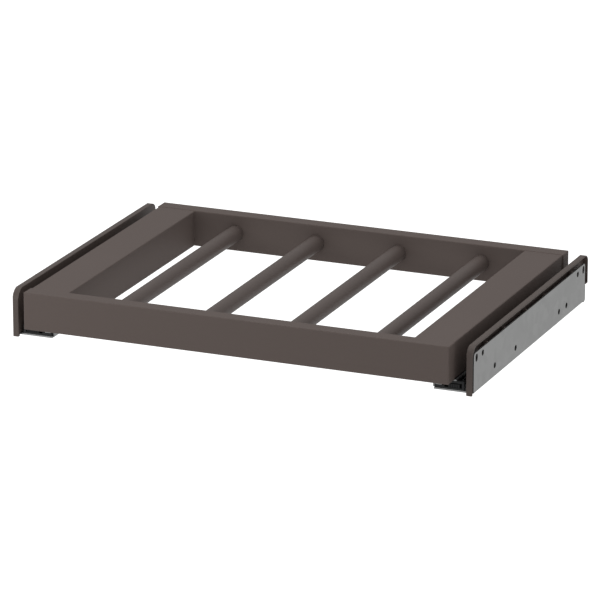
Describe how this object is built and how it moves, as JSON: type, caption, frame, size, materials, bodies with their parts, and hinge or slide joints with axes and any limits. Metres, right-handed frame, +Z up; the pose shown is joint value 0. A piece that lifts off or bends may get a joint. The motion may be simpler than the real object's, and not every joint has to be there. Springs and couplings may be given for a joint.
{
  "type": "pull-out pants hanger",
  "caption": "Dark pull-out frame with round hanging rods, on flat ball-bearing runners whose brackets screw to the sides of a wardrobe behind slim covers.",
  "frame": {"origin": "midway between the wardrobe sides, level with the brackets' front edges and with their undersides", "axes": "+X from the left bracket to the right one, -Y the way the frame pulls out, +Z up"},
  "size_m": [0.465, 0.3298, 0.0495],
  "materials": {
    "brown_foil": "matt dark brown foil on fibreboard",
    "brown_paint": "satin dark brown powder coat",
    "brown_plastic": "matt moulded dark brown plastic",
    "zinc_sheet": "galvanised sheet steel",
    "bright_steel": "bright zinc plated",
    "black_plastic": "fine moulded black plastic",
    "cage_plastic": "smooth dark grey plastic",
    "black_rubber": "soft matt rubber",
    "dowel_wood": "plain beech"
  },
  "bodies": {
    "runner_mounts": {"mounting_bracket_left": "zinc_sheet", "mounting_bracket_right": "zinc_sheet", "side_cover_left": "brown_plastic", "side_cover_right": "brown_plastic", "fixed_rail_left": "zinc_sheet", "fixed_rail_right": "zinc_sheet", "rail_rivets": "bright_steel", "rear_bumpers": "black_rubber"},
    "hanger_frame": {"front_rail": "brown_foil", "back_rail": "brown_foil", "side_board_left": "brown_foil", "side_board_right": "brown_foil", "hanging_rod_1": "brown_paint", "hanging_rod_2": "brown_paint", "hanging_rod_3": "brown_paint", "hanging_rod_4": "brown_paint", "corner_dowels": "dowel_wood", "cam_bolts": "bright_steel", "cam_discs": "bright_steel", "carrying_rail_left": "zinc_sheet", "carrying_rail_right": "zinc_sheet", "front_catch_left": "black_plastic", "front_catch_right": "black_plastic", "catch_screws": "bright_steel"},
    "middle_slide_left": {"middle_rail_left": "zinc_sheet"},
    "outer_cage_left": {"outer_ball_cage_left": "cage_plastic", "outer_balls_left": "bright_steel"},
    "inner_cage_left": {"inner_ball_cage_left": "cage_plastic", "inner_balls_left": "bright_steel"},
    "middle_slide_right": {"middle_rail_right": "zinc_sheet"},
    "outer_cage_right": {"outer_ball_cage_right": "cage_plastic", "outer_balls_right": "bright_steel"},
    "inner_cage_right": {"inner_ball_cage_right": "cage_plastic", "inner_balls_right": "bright_steel"},
    "lever_left": {"release_lever_left": "black_plastic"},
    "lever_right": {"release_lever_right": "black_plastic"}
  },
  "joints": [
    {"name": "pull_out", "type": "slide", "parent": "runner_mounts", "child": "hanger_frame", "axis": [0, -1, 0], "range_m": [0, 0.26]},
    {"name": "middle_travel_left", "type": "slide", "parent": "runner_mounts", "child": "middle_slide_left", "axis": [0, -1, 0], "range_m": [0, 0.13]},
    {"name": "outer_cage_travel_left", "type": "slide", "parent": "runner_mounts", "child": "outer_cage_left", "axis": [0, -1, 0], "range_m": [0, 0.065]},
    {"name": "inner_cage_travel_left", "type": "slide", "parent": "runner_mounts", "child": "inner_cage_left", "axis": [0, -1, 0], "range_m": [0, 0.195]},
    {"name": "middle_travel_right", "type": "slide", "parent": "runner_mounts", "child": "middle_slide_right", "axis": [0, -1, 0], "range_m": [0, 0.13]},
    {"name": "outer_cage_travel_right", "type": "slide", "parent": "runner_mounts", "child": "outer_cage_right", "axis": [0, -1, 0], "range_m": [0, 0.065]},
    {"name": "inner_cage_travel_right", "type": "slide", "parent": "runner_mounts", "child": "inner_cage_right", "axis": [0, -1, 0], "range_m": [0, 0.195]},
    {"name": "lever_press_left", "type": "hinge", "parent": "hanger_frame", "child": "lever_left", "pos_m": [-0.2134, 0.01315, 0.0055], "axis": [0, 0, -1], "range_deg": [0, 8], "stiffness_Nm_per_rad": 0.01},
    {"name": "lever_press_right", "type": "hinge", "parent": "hanger_frame", "child": "lever_right", "pos_m": [0.2134, 0.01315, 0.0055], "axis": [0, 0, 1], "range_deg": [0, 8], "stiffness_Nm_per_rad": 0.01}
  ],
  "couplings": [
    {"joint": "middle_travel_left", "follows": "pull_out", "ratio": 0.5},
    {"joint": "outer_cage_travel_left", "follows": "pull_out", "ratio": 0.25},
    {"joint": "inner_cage_travel_left", "follows": "pull_out", "ratio": 0.75},
    {"joint": "middle_travel_right", "follows": "pull_out", "ratio": 0.5},
    {"joint": "outer_cage_travel_right", "follows": "pull_out", "ratio": 0.25},
    {"joint": "inner_cage_travel_right", "follows": "pull_out", "ratio": 0.75}
  ]
}
